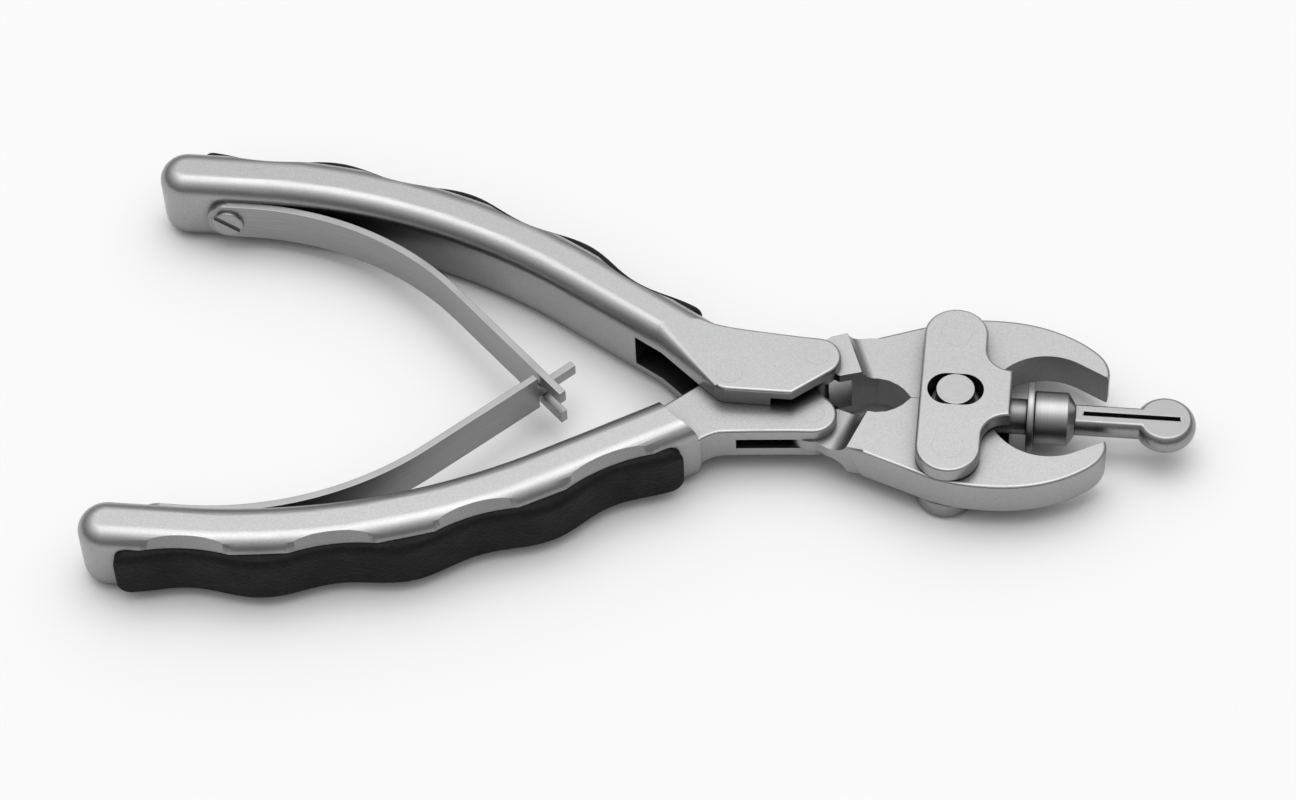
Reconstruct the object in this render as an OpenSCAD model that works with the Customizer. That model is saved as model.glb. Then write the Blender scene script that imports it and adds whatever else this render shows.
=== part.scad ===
// Crimping pliers: two sprung handles drive two jaws through a toggle, so that the
// jaws close parallel to each other round a split mandrel that floats between them.
// X runs along the tool towards the mandrel's nose, Y across the handles, Z up.
// The sizes below are measured from the line through the two jaw pins (X) and from
// the tool's middle plane (Y and Z). place() then moves everything so that the
// origin is under the middle of the tool, on the surface that it lies on.

/* [Handles] */
// Width of each handle bar in plan
handle_w = 8.7; // [7.4:0.1:10.6]
// Height of each handle bar
handle_h = 13; // [10.8:0.1:15.8]
// Radius of the rounding along each handle bar
handle_edge_r = 3; // [1:0.1:3.4]
// Length of the straight shank behind the head
shank_len = 22.9; // [18:0.1:30]
// Radius of the long bend
bend_r = 102; // [80:1:130]
// Angle of the long bend
bend_a = 32; // [26:0.5:39]
// Length of the straight tail
tail_len = 11.1; // [9:0.1:20]
// Where the shank starts, behind the jaw pins
shank_root_x = 40; // [38:0.1:42]
// Where the shank starts, off the middle line
shank_root_y = 7.55; // [7:0.05:8.2]

/* [Grips] */
// Height of each rubber grip
grip_h = 8.6; // [7:0.1:9.6]
// Depth of the recess that each grip sits in
grip_depth = 1.6; // [1.2:0.1:2]
// Distance from the shank's start to the grip
grip_start = 3.2; // [2.5:0.1:5]
// Distance from the grip to the end of the handle's straight tail
grip_tail_gap = 1.8; // [1.4:0.1:4]
// How far the grip's hills stand proud of the handle
grip_hill = 1.7; // [1:0.1:2.2]
// How far the grip's valleys stand proud of the scallops
grip_valley = 0.9; // [0.5:0.05:1.2]
// Distance from one finger valley to the next
finger_pitch = 21.15; // [18:0.05:23]
// Distance from the shank's start to the first finger valley
finger_start = 14.75; // [12.5:0.05:16]
// Number of finger valleys
fingers = 4; // [3:1:4]
// Radius of the scallop that carries each valley into the metal
scallop_r = 28; // [23:0.5:34]
// Depth of each scallop
scallop_depth = 0.9; // [0.5:0.1:1.2]
// How much wider each scallop gets for each step up from the grip
scallop_flare = 0.47; // [0.2:0.01:0.6]

/* [Head and pivots] */
// Main pivot, behind the jaw pins
pivot_x = 34; // [33:0.1:36]
// Radius of the main pivot pin
pivot_pin_r = 2; // [1.6:0.05:2.2]
// Radius of the metal round the main pivot
pivot_boss_r = 3.3; // [3:0.1:3.6]
// Toggle pins, behind the jaw pins
toggle_x = 20.9; // [20:0.1:22]
// Toggle pins, off the middle line
toggle_y = 4.25; // [4:0.05:4.6]
// Radius of each toggle pin
toggle_pin_r = 1.75; // [1.4:0.05:2.1]
// Radius of the handle's nose round its toggle pin
toggle_boss_r = 3.65; // [3.4:0.05:3.9]
// Thickness of the lap on the lower handle
lap_t = 6.1; // [5:0.05:7.3]
// Height of the slot in the lap
lap_slot_h = 2.1; // [1.7:0.05:2.5]
// Radius of the round shoulder that the cheeks turn in
shoulder_r = 11.8; // [11:0.1:13]
// Height from the middle plane to the underside of the thin cheek
thin_cheek_z = 4.85; // [4.4:0.05:5.2]

/* [Jaws] */
// Thickness of both jaws
jaw_t = 6.1; // [5:0.05:7.3]
// Distance between the two jaw pins
jaw_pin_spacing = 21.9; // [21:0.1:23]
// Radius of each jaw pin
jaw_pin_r = 2.4; // [2:0.05:2.9]
// Radius of the round room behind the mouth
relief_r = 6.6; // [6.2:0.1:7]
// Radius of the round part of each jaw's mouth
mouth_r = 9.15; // [8.8:0.05:9.4]

/* [Link plates] */
// Thickness of each link plate
plate_t = 2.7; // [2.2:0.1:3.3]
// Radius of each rounded lobe
lobe_r = 4.9; // [4.2:0.1:5.8]
// Half width of the stem
stem_half_w = 4.4; // [4:0.1:5]
// Distance from the jaw pins to the stem's end
stem_len = 9; // [8.2:0.1:9.8]
// Radius of the corner between lobe and stem
plate_fillet_r = 4; // [3:0.1:4]
// How far the mandrel can float along its slot
float_travel = 2.6; // [1.6:0.1:2.6]
// Middle of the slot, ahead of the jaw pins
slot_x = 0.5; // [0.2:0.1:0.8]

/* [Mandrel] */
// Radius of the centre pin
centre_pin_r = 2.95; // [2.4:0.05:3.1]
// Radius of the round holder on the centre pin
holder_r = 3.8; // [3.5:0.1:3.8]
// Radius of the holder's neck
neck_r = 2.75; // [2.3:0.05:2.9]
// Distance from the jaw pins to the stop flange
neck_end = 11.5; // [11.2:0.1:12]
// Radius of the stop flange
flange_r = 5.6; // [4.8:0.1:5.8]
// Thickness of the stop flange
flange_t = 1.1; // [0.8:0.1:1.4]
// Radius of the collar
collar_r = 4.1; // [3.5:0.1:4.4]
// Length of the collar
collar_len = 6.2; // [5:0.1:6.6]
// Length of the taper at the collar's front end
collar_taper = 1.1; // [0.6:0.1:1.5]
// Radius of the mandrel's shaft
shaft_r = 2.35; // [2.1:0.05:2.6]
// Half thickness between the flats of shaft and nose
flat_half_t = 1.8; // [1.5:0.05:2.1]
// Length of the shaft between collar and nose
shaft_len = 10; // [8:0.1:12]
// Radius of the round nose in plan
nose_r = 4.7; // [4:0.1:5.6]
// Radius of the nose's round edge
nose_edge_r = 2.2; // [2:0.05:2.6]
// Width of the slit
slit_w = 0.7; // [0.5:0.05:0.9]
// Length of the slit
slit_len = 14.6; // [11:0.1:15]

/* [Leaf springs] */
// Thickness of each leaf
leaf_t = 1.2; // [0.9:0.1:1.4]
// Width of each leaf
leaf_w = 7; // [5.8:0.1:8.4]
// Radius of each leaf's bend
leaf_bend_r = 50; // [45:0.5:54]
// Angle of each leaf's bend
leaf_bend_a = 45; // [42:0.5:47]
// Width of the gap between the fork's prongs
fork_gap = 2.3; // [2:0.1:2.8]
// Radius of each spring screw's head
screw_head_r = 2.45; // [2:0.05:2.9]
// Height of each spring screw's head
screw_head_h = 0.6; // [0.5:0.05:1]
// Width of the slot in each spring screw
screw_slot_w = 0.9; // [0.6:0.05:1]
// Radius of each spring screw's shank
screw_r = 1.2; // [1:0.05:1.4]

/* [Fits] */
// Radial clearance where a pin turns in a hole
run_fit = 0.05; // [0.02:0.01:0.09]
// Radial clearance at the upper jaw's own pin
loose_fit = 0.2; // [0.15:0.01:0.3]
// Gap between faces that slide over each other
face_gap = 0.05; // [0.03:0.01:0.1]

/* [Hidden] */
// how far inside a round boss the straight edges that run into it start
edge_bite = 0.12;
$fn = 64;
big = 200;

// Handle path
half_h = handle_h / 2;
half_w = handle_w / 2;
bend_end = [-shank_root_x - shank_len * cos(bend_a), shank_root_y + shank_len * sin(bend_a)];
bend_centre = bend_end - bend_r * [sin(bend_a), cos(bend_a)];
tail_start = bend_centre + [0, bend_r];
tail_end_x = tail_start[0] - tail_len;
bend_len = bend_r * bend_a * PI / 180;
path_len = shank_len + bend_len + tail_len;
grip_len = path_len - grip_tail_gap - grip_start;
grip_stations = [for (i = [0:60]) grip_start + grip_len * i / 60];
hill_out = half_w + grip_hill;
valley_out = half_w - scallop_depth + grip_valley;
inner_face_y = tail_start[1] - half_w;

// Overall length and where the origin goes
x_back = tail_end_x - half_w;
nose_x = neck_end + flange_t + collar_len + shaft_len + nose_r - 1;
x_front = nose_x + nose_r;
x_shift = -(x_back + x_front) / 2;

// Levels above the middle plane
lap_z = lap_t / 2;
cheek_z = max(lap_t, jaw_t) / 2 + 2 * face_gap;
ear_top_z = thin_cheek_z - 2 * face_gap;
tongue_z = lap_slot_h / 2 - face_gap;
jaw_z = jaw_t / 2;
plate_z = jaw_z + face_gap;
plate_top_z = plate_z + plate_t;

// Jaw outline
jaw_pin_y = jaw_pin_spacing / 2;
knuckle_x = 6.2;
relief_back_x = slot_x - float_travel / 2 - max(holder_r, centre_pin_r) - 0.15;
knuckle_gap = 0.03;
ramp_a = 20;
lap_ramp_u = -13.8;
lap_ramp_r = 3.15;
ear_ramp_u = -10.05;
ear_ramp_r = 2.1;
ear_wall_x = -15.5;
cheek_step_x = -27.5;
lap_slot_x = -32.3;

// Leaf springs
leaf_y = inner_face_y - leaf_t / 2;
leaf_bend_x = tail_start[0] - 0.5;
screw_x = tail_start[0] - 3.9;
leaf_end_x = screw_x - leaf_w / 2;
leaf_cross_reach = (leaf_y - leaf_bend_r * (1 - cos(leaf_bend_a))) / sin(leaf_bend_a);
leaf_tip_reach = leaf_cross_reach + 4.6;
leaf_cut_reach = leaf_cross_reach - 1.2;

// The mandrel's thin shank, which the holder, flange and collar sit on
shank_r = shaft_r - 0.7;
shank_back_x = slot_x + centre_pin_r + 1.2;
flange_x = neck_end;
collar_x = flange_x + flange_t;
shaft_x = collar_x + collar_len;

// ---- helpers ----

// Moves the tool from its working frame to its resting place.
module place() {
    translate([x_shift, 0, half_h]) children();
}

// A plain extrusion from one level to another.
module slab(z0, z1) {
    translate([0, 0, z0]) linear_extrude(z1 - z0) children();
}

// The same extrusion above and below the middle plane.
module both_sides(z0, z1) {
    slab(z0, z1) children();
    slab(-z1, -z0) children();
}

// An upright round bar at a point of the plan.
module post(p, r, z0, z1) {
    translate([p[0], p[1], z0]) cylinder(r = r, h = z1 - z0);
}

// Points of a cubic curve.
function curve(a, b, c, d, n) =
    [for (i = [0:n]) let (t = i / n, s = 1 - t)
        s * s * s * a + 3 * s * s * t * b + 3 * s * t * t * c + t * t * t * d];

// Points of an arc.
function arc(c, r, a0, a1, n) = [for (i = [0:n]) let (a = a0 + (a1 - a0) * i / n) c + r * [cos(a), sin(a)]];

// A point of the handle's path, s along it from the head and v outwards.
function path_point(s, v) =
    s < shank_len
        ? [-shank_root_x - s * cos(bend_a), shank_root_y + s * sin(bend_a)] + v * [sin(bend_a), cos(bend_a)]
        : s < shank_len + bend_len
            ? let (a = bend_a - (s - shank_len) * 180 / PI / bend_r)
                bend_centre + (bend_r + v) * [sin(a), cos(a)]
            : tail_start + [shank_len + bend_len - s, v];

// How far the grip stands out at a distance along the path.
function grip_out(s) =
    (hill_out + valley_out) / 2 - (hill_out - valley_out) / 2 * cos((s - finger_start) / finger_pitch * 360);

// The grip's plan, from the recess's floor out to the distances given.
module grip_band(out) {
    last = len(grip_stations) - 1;
    polygon(concat(
        [for (s = grip_stations) path_point(s, half_w - grip_depth)],
        [for (i = [last:-1:0]) path_point(grip_stations[i], out[i])]
    ));
}

// ---- handles ----

// Half of the room that a rounded edge leaves at a distance from the edge's start.
function round_drop(r, d) = d >= r ? 0 : r - sqrt(r * r - (r - d) * (r - d));

// One ring of the bar: a rectangle with rounded corners, half_u wide each way from the path.
function bar_ring(s, half_u, half_v) =
    let (r = min(handle_edge_r, half_u - 0.1, half_v - 0.1))
    [for (corner = [0:3], i = [0:3])
        let (a = corner * 90 + i * 30,
             u = (corner == 0 || corner == 3 ? 1 : -1) * (half_u - r) + r * cos(a),
             z = (corner < 2 ? 1 : -1) * (half_v - r) + r * sin(a),
             p = path_point(s, u))
            [p[0], p[1], z]];

// The bar: rings along the path, drawn in at the round end of the tail.
module handle_bar(stub) {
    ring_n = 16;
    bend_steps = 16;
    end_angles = [20, 40, 60, 75, 86];
    rings = concat(
        [bar_ring(-stub, half_w, half_h)],
        [for (i = [0:bend_steps]) bar_ring(shank_len + bend_len * i / bend_steps, half_w, half_h)],
        [bar_ring(path_len, half_w, half_h)],
        [for (a = end_angles) let (left = half_w * (1 - sin(a)))
            bar_ring(path_len + half_w - left, half_w * cos(a), half_h - round_drop(handle_edge_r, left))]
    );
    last = len(rings) - 1;
    polyhedron(
        points = [for (ring = rings) each ring],
        faces = concat(
            [[for (i = [ring_n - 1:-1:0]) i]],
            [for (k = [0:last - 1], i = [0:ring_n - 1])
                let (j = (i + 1) % ring_n, a = k * ring_n, b = a + ring_n) [a + i, a + j, b + j, b + i]],
            [[for (i = [0:ring_n - 1]) last * ring_n + i]]
        )
    );
}

// The scallops beside the grip that the fingers rest in, each flared away from it.
module finger_scallops() {
    base_z = grip_h / 2 - 0.4;
    rise = half_h + 1 - base_z;
    for (i = [0:fingers - 1], side = [0, 1])
        let (p = path_point(finger_start + i * finger_pitch, half_w - scallop_depth + scallop_r))
            mirror([0, 0, side]) translate([p[0], p[1], base_z])
                cylinder(r1 = scallop_r, r2 = scallop_r + scallop_flare * rise, h = rise);
}

// The recess that the grip sits in.
module grip_recess() {
    slab(-grip_h / 2, grip_h / 2) grip_band([for (s = grip_stations) half_w + 4]);
}

// The room that the spring screw's shank takes in the tail.
module screw_hole() {
    translate([screw_x, inner_face_y - 1, 0]) rotate([-90, 0, 0]) cylinder(r = screw_r, h = 6);
}

// The head in plan: round boss at the main pivot, round nose at the toggle pin.
module head_plan() {
    pivot = [-pivot_x, 0];
    toggle = [-toggle_x, toggle_y];
    slant = 40;
    pivot_in = pivot_boss_r - edge_bite;
    toggle_in = toggle_boss_r - edge_bite;
    nose_low = toggle + toggle_in * [sin(slant), -cos(slant)];
    flat_end = nose_low[0] - (nose_low[1] + pivot_in) / tan(slant);
    translate(pivot) circle(pivot_boss_r);
    translate(toggle) circle(toggle_boss_r);
    polygon([
        path_point(4, 0), path_point(6.4, 0.4 - half_w), pivot - pivot_in * [sin(slant), cos(slant)],
        pivot, pivot - [0, pivot_in], [flat_end, -pivot_in], nose_low, toggle,
        toggle + toggle_in * [sin(5), cos(5)], [-pivot_x - 1.5, 9.25], [-pivot_x - 3.6, 9.75],
        [-pivot_x - 5.5, 11.1], path_point(2, half_w - 0.4)
    ]);
}

// Everything within reach of the pivot that the lap needs as it turns, in the upper handle.
module lap_room() {
    pivot = [-pivot_x, 0];
    reach = pivot_boss_r + 0.45;
    back_s = 8.6;
    translate(pivot) circle(reach);
    translate([-pivot_x, -20]) square([60, 20 + reach]);
    polygon([
        pivot - [0, 6], path_point(back_s, -half_w - 16), path_point(back_s, 1.2), path_point(-2, 1.2),
        pivot + [0, reach]
    ]);
}

module lower_handle() {
    color([0.74, 0.74, 0.74]) place() mirror([0, 1, 0]) difference() {
        union() {
            difference() {
                handle_bar(4.6);
                both_sides(lap_z, half_h + 1) translate([-pivot_x, 0]) circle(shoulder_r);
                post([-pivot_x, 0], shoulder_r - 2, -half_h, half_h);
            }
            slab(-lap_z, lap_z) head_plan();
        }
        grip_recess();
        finger_scallops();
        screw_hole();
        slab(-lap_slot_h / 2, lap_slot_h / 2) translate([lap_slot_x, -20]) square([40, 40]);
        post([-pivot_x, 0], pivot_pin_r + run_fit, -half_h, half_h);
        post([-toggle_x, toggle_y], toggle_pin_r, -half_h, half_h);
    }
}

module upper_handle() {
    color([0.74, 0.74, 0.74]) place() difference() {
        union() {
            handle_bar(1.5);
            slab(-half_h, half_h) head_plan();
        }
        grip_recess();
        finger_scallops();
        screw_hole();
        slab(-cheek_z, cheek_z) lap_room();
        slab(-thin_cheek_z, thin_cheek_z) translate([cheek_step_x, -20]) square([40, 40]);
        post([-pivot_x, 0], pivot_pin_r, -half_h - 1, half_h + 1);
        post([-toggle_x, toggle_y], toggle_pin_r, -half_h - 1, half_h + 1);
    }
}

// ---- grips ----

module grip() {
    slab(-grip_h / 2, grip_h / 2) grip_band([for (s = grip_stations) grip_out(s)]);
}

module lower_grip() {
    color([0.08, 0.08, 0.08]) place() mirror([0, 1, 0]) grip();
}

module upper_grip() {
    color([0.08, 0.08, 0.08]) place() grip();
}

// ---- leaf springs and their screws ----

// One leaf in side view: flat by the screw, a long bend, then straight to the tip.
module leaf_plan(reach) {
    translate([leaf_end_x, leaf_y - leaf_t / 2]) square([leaf_bend_x - leaf_end_x, leaf_t]);
    translate([leaf_bend_x, leaf_y - leaf_bend_r]) {
        difference() {
            circle(leaf_bend_r + leaf_t / 2, $fn = 180);
            circle(leaf_bend_r - leaf_t / 2, $fn = 180);
            rotate(90) translate([-big, 0]) square([2 * big, big]);
            rotate(-leaf_bend_a) translate([0, -big]) square([big, 2 * big]);
            translate([-big, -big]) square([2 * big, big]);
        }
        rotate(-leaf_bend_a) translate([0, leaf_bend_r - leaf_t / 2]) square([reach, leaf_t]);
    }
}

// The leaf before its tip is cut: rounded at the screw end, drilled for the screw.
module leaf_blank(reach) {
    difference() {
        slab(-leaf_w / 2, leaf_w / 2) leaf_plan(reach);
        translate([screw_x, leaf_y - 3, 0]) rotate([-90, 0, 0]) difference() {
            translate([-leaf_w, -leaf_w, 0]) cube([leaf_w, 2 * leaf_w, 6]);
            cylinder(r = leaf_w / 2, h = 6);
        }
        translate([screw_x, leaf_y - 3, 0]) rotate([-90, 0, 0]) cylinder(r = screw_r, h = 6);
    }
}

// A box that runs with the straight part of the leaf, from one distance on.
module leaf_cut(from, z0, z1) {
    translate([leaf_bend_x, leaf_y - leaf_bend_r, z0]) rotate([0, 0, -leaf_bend_a])
        translate([from, leaf_bend_r - 3, 0]) cube([30, 6, z1 - z0]);
}

module lower_leaf_spring() {
    tongue = fork_gap - 0.3;
    color([0.7, 0.7, 0.7]) place() mirror([0, 1, 0]) difference() {
        leaf_blank(leaf_tip_reach + 1.4);
        leaf_cut(leaf_cut_reach, tongue / 2, leaf_w);
        leaf_cut(leaf_cut_reach, -leaf_w, -tongue / 2);
    }
}

module upper_leaf_spring() {
    color([0.7, 0.7, 0.7]) place() difference() {
        leaf_blank(leaf_tip_reach + 0.6);
        leaf_cut(leaf_cut_reach, -fork_gap / 2, fork_gap / 2);
    }
}

// A slotted screw that holds a leaf to the handle's inner face.
module spring_screw() {
    translate([screw_x, inner_face_y - leaf_t, 0]) {
        rotate([-90, 0, 0]) cylinder(r = screw_r, h = leaf_t + 4);
        difference() {
            rotate([90, 0, 0]) cylinder(r = screw_head_r, h = screw_head_h);
            rotate([0, 35, 0]) translate([-5, -screw_head_h - 1, -screw_slot_w / 2])
                cube([10, 1 + screw_head_h * 0.75, screw_slot_w]);
        }
    }
}

module lower_spring_screw() {
    color([0.62, 0.62, 0.62]) place() mirror([0, 1, 0]) spring_screw();
}

module upper_spring_screw() {
    color([0.62, 0.62, 0.62]) place() spring_screw();
}

// ---- pivot pins ----

module main_pivot_pin() {
    color([0.66, 0.66, 0.66]) place() post([-pivot_x, 0], pivot_pin_r, -half_h, half_h);
}

module upper_toggle_pin() {
    color([0.66, 0.66, 0.66]) place() post([-toggle_x, toggle_y], toggle_pin_r, -half_h, half_h);
}

module lower_toggle_pin() {
    color([0.66, 0.66, 0.66]) place() post([-toggle_x, -toggle_y], toggle_pin_r, -lap_z, lap_z);
}

// ---- jaws ----

// One jaw in plan, drawn for the upper side. tail closes the outline round the toggle pin.
module jaw_plan(tail) {
    relief_c = [slot_x + 0.1, 0];
    mouth_c = [14.6, 0.6];
    difference() {
        polygon(concat(
            [[-knuckle_x, knuckle_gap], [-7.4, 1.5], [-8.4, 2.3], [-9.8, 3], [-11.4, 3.3]],
            tail,
            [[-12.9, 11.2], [-3.1, 15]],
            curve([-3.1, 15], [0.2, 16.2], [3.5, 16.45], [7, 16.4], 8),
            curve([7, 16.4], [12.5, 16.3], [17.5, 14.6], [21.2, 11.6], 8),
            curve([21.2, 11.6], [22.8, 10.3], [23.7, 8.9], [23.8, 7], 5),
            [[23.6, 6.1]],
            arc(mouth_c, mouth_r, 63, 150, 16),
            [[4, knuckle_gap]]
        ));
        intersection() {
            translate(relief_c) circle(relief_r);
            translate([relief_back_x, -relief_r]) square(3 * relief_r);
        }
    }
}

// A bar across the jaw, parallel to its ramp, used to cut the ramp's hollow.
module ramp_cut(u, z, r) {
    rotate([0, 0, ramp_a]) translate([u, 30, z]) rotate([90, 0, 0]) cylinder(r = r, h = 60);
}

// A block across the jaw on one side of its ramp, from one level up.
module ramp_block(u, ahead, z) {
    rotate([0, 0, ramp_a]) translate([ahead ? u : u - 40, -30, z]) cube([40, 60, 20]);
}

module jaw_holes(toggle_hole, pin_hole) {
    post([-toggle_x, toggle_y], toggle_hole, -half_h, half_h);
    post([0, jaw_pin_y], pin_hole, -half_h, half_h);
}

module lower_jaw() {
    toggle = [-toggle_x, toggle_y];
    tail_r = toggle_boss_r + 0.4;
    color([0.72, 0.72, 0.72]) place() mirror([0, 1, 0]) difference() {
        union() {
            slab(-jaw_z, jaw_z)
                jaw_plan([[-13, 3.1], [-17.3, 1.5], toggle - [1, 0], [-20.4, 8], [-18.4, 9.2], [-15.6, 10.2]]);
            post(toggle, tail_r, -jaw_z, jaw_z);
        }
        for (side = [0, 1]) mirror([0, 0, side]) {
            ramp_block(lap_ramp_u, false, tongue_z);
            ramp_cut(lap_ramp_u, tongue_z + lap_ramp_r, lap_ramp_r);
        }
        jaw_holes(toggle_pin_r + run_fit, jaw_pin_r + run_fit);
    }
}

module upper_jaw() {
    toggle = [-toggle_x, toggle_y];
    tail_r = toggle_boss_r - 0.35;
    color([0.72, 0.72, 0.72]) place() difference() {
        union() {
            slab(-ear_top_z, ear_top_z)
                jaw_plan([[-13.4, 3.2], [-17.3, 2], toggle - [1, 0], [-21.8, 6.8], [-19.2, 9.6], [-17, 10.4]]);
            post(toggle, tail_r, -ear_top_z, ear_top_z);
        }
        for (side = [0, 1]) mirror([0, 0, side]) {
            ramp_block(ear_ramp_u, true, jaw_z);
            ramp_cut(ear_ramp_u, jaw_z + ear_ramp_r, ear_ramp_r);
        }
        slab(-cheek_z, cheek_z) translate([ear_wall_x - 20, -20]) square([20, 60]);
        jaw_holes(toggle_pin_r + run_fit, jaw_pin_r + loose_fit);
    }
}

// ---- link plates ----

// The T shape: a lobe at each jaw pin and a stem towards the mandrel.
module plate_plan() {
    f = plate_fillet_r;
    for (side = [-1, 1]) {
        translate([0, side * jaw_pin_y]) circle(lobe_r);
        difference() {
            translate([lobe_r - 0.01, side > 0 ? stem_half_w - 0.01 : -stem_half_w - f + 0.01]) square(f);
            translate([lobe_r + f, side * (stem_half_w + f)]) circle(f);
        }
    }
    translate([-lobe_r, -jaw_pin_y]) square([2 * lobe_r, jaw_pin_spacing]);
    translate([0, -stem_half_w]) square([stem_len, 2 * stem_half_w]);
}

// The slot that lets the centre pin slide.
module plate_slot() {
    slot_r = centre_pin_r + run_fit;
    for (side = [-1, 1]) translate([slot_x + side * float_travel / 2, 0]) circle(slot_r);
    translate([slot_x - float_travel / 2, -slot_r]) square([float_travel, 2 * slot_r]);
}

module link_plate() {
    slab(plate_z, plate_top_z) difference() {
        plate_plan();
        plate_slot();
        for (side = [-1, 1]) translate([0, side * jaw_pin_y]) circle(jaw_pin_r);
    }
}

module top_link_plate() {
    color([0.78, 0.78, 0.78]) place() link_plate();
}

module bottom_link_plate() {
    color([0.78, 0.78, 0.78]) place() mirror([0, 0, 1]) link_plate();
}

module lower_jaw_pin() {
    color([0.66, 0.66, 0.66]) place() post([0, -jaw_pin_y], jaw_pin_r, -plate_top_z, plate_top_z);
}

module upper_jaw_pin() {
    color([0.66, 0.66, 0.66]) place() post([0, jaw_pin_y], jaw_pin_r, -plate_top_z, plate_top_z);
}

// ---- floating mandrel ----

// A round bar along X between two places.
module spindle(x0, x1, r) {
    translate([x0, 0, 0]) rotate([0, 90, 0]) cylinder(r = r, h = x1 - x0);
}

module centre_pin() {
    color([0.8, 0.8, 0.8]) place() post([slot_x, 0], centre_pin_r, -plate_top_z, plate_top_z);
}

module mandrel_holder() {
    half_t = jaw_z - 2 * face_gap;
    color([0.74, 0.74, 0.75]) place() difference() {
        union() {
            post([slot_x, 0], holder_r, -half_t, half_t);
            spindle(slot_x, neck_end, neck_r);
        }
        post([slot_x, 0], centre_pin_r, -half_h, half_h);
        spindle(shank_back_x, neck_end + 1, shank_r);
    }
}

module stop_flange() {
    color([0.74, 0.74, 0.75]) place() difference() {
        spindle(flange_x, collar_x, flange_r);
        spindle(flange_x - 1, collar_x + 1, shank_r);
    }
}

module mandrel_collar() {
    tip_r = shaft_r + 0.15;
    color([0.74, 0.74, 0.75]) place() difference() {
        translate([collar_x, 0, 0]) rotate([0, 90, 0]) rotate_extrude() polygon([
            [0, 0], [collar_r, 0], [collar_r, collar_len - collar_taper], [tip_r, collar_len], [0, collar_len]
        ]);
        spindle(collar_x - 1, shaft_x + 1, shank_r);
    }
}

module mandrel() {
    color([0.78, 0.78, 0.79]) place() difference() {
        union() {
            spindle(shank_back_x, shaft_x + 1, shank_r);
            intersection() {
                union() {
                    spindle(shaft_x, nose_x, shaft_r);
                    translate([nose_x, 0, 0]) rotate_extrude()
                        translate([nose_r - nose_edge_r, 0]) circle(nose_edge_r);
                    post([nose_x, 0], nose_r - nose_edge_r, -flat_half_t - 0.1, flat_half_t + 0.1);
                }
                translate([shaft_x, -big, -flat_half_t]) cube([big, 2 * big, 2 * flat_half_t]);
            }
        }
        translate([shaft_x + 1.3, -slit_w / 2, -half_h]) cube([slit_len, slit_w, handle_h]);
    }
}

lower_handle();
lower_grip();
lower_leaf_spring();
lower_spring_screw();
lower_toggle_pin();
upper_handle();
upper_grip();
upper_leaf_spring();
upper_spring_screw();
upper_toggle_pin();
main_pivot_pin();
lower_jaw();
upper_jaw();
top_link_plate();
bottom_link_plate();
lower_jaw_pin();
upper_jaw_pin();
centre_pin();
mandrel_holder();
stop_flange();
mandrel_collar();
mandrel();
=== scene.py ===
"""Sprung crimping pliers with a floating split mandrel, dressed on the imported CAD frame."""

import logging
import math
from dataclasses import dataclass, field
from enum import Enum
from typing import Callable, Iterable, Sequence

import bmesh
import bpy
from mathutils import Matrix, Vector

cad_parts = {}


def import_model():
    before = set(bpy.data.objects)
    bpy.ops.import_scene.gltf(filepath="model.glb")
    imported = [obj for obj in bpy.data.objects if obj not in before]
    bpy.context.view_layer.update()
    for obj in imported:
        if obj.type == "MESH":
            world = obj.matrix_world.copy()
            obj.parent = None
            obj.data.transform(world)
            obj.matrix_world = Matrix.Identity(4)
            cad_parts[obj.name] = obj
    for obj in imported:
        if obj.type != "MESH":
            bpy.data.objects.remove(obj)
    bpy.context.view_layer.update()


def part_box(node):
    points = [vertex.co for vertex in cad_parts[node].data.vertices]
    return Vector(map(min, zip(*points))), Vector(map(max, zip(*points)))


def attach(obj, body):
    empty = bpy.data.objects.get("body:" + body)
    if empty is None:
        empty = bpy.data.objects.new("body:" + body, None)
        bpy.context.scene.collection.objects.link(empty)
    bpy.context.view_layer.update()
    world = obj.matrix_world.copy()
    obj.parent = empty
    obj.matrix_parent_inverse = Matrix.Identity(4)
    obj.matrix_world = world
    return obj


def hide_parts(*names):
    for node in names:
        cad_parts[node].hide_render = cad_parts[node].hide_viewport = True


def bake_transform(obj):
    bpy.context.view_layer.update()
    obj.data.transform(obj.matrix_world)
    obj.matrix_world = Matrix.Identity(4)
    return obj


LOG = logging.getLogger("pliers")
MM = 0.001
ROUND = 96
Place = tuple[float, float]
Triple = tuple[float, float, float]
Plan = list[Place]
Socket = bpy.types.NodeSocket
Material = bpy.types.Material
Object = bpy.types.Object
Solid = bmesh.types.BMesh
Edge = bmesh.types.BMEdge


class Side(Enum):
    """Which handle or jaw a piece belongs to."""

    UPPER = 1
    LOWER = -1

    @property
    def word(self) -> str:
        """The first word of the side's CAD node names."""
        return self.name.lower()

    @property
    def handle(self) -> str:
        """The CAD body of this side's handle."""
        return f"{self.word}_handle"


class Cut(Enum):
    """How one solid changes another."""

    ADD = "UNION"
    TAKE = "DIFFERENCE"


@dataclass(frozen=True)
class Layout:
    """Places, radii and levels that pins share with what they join, in tool millimetres."""

    pivot: Place = (-34.0, 0.0)
    toggle: Place = (-20.9, 4.25)
    jaw_pin: Place = (0.0, 10.95)
    centre: Place = (0.5, 0.0)
    pivot_r: float = 2.0
    toggle_r: float = 1.75
    jaw_pin_r: float = 2.4
    centre_r: float = 2.95
    handle_z: float = 6.5
    lap_z: float = 3.05
    plate_top_z: float = 5.8

    def on_side(self, place: Place, side: Side) -> Place:
        """A place of the upper side, moved to the side given."""
        return place[0], place[1] * side.value


LAYOUT = Layout()


# ---------------------------------------------------------------- finishes


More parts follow.
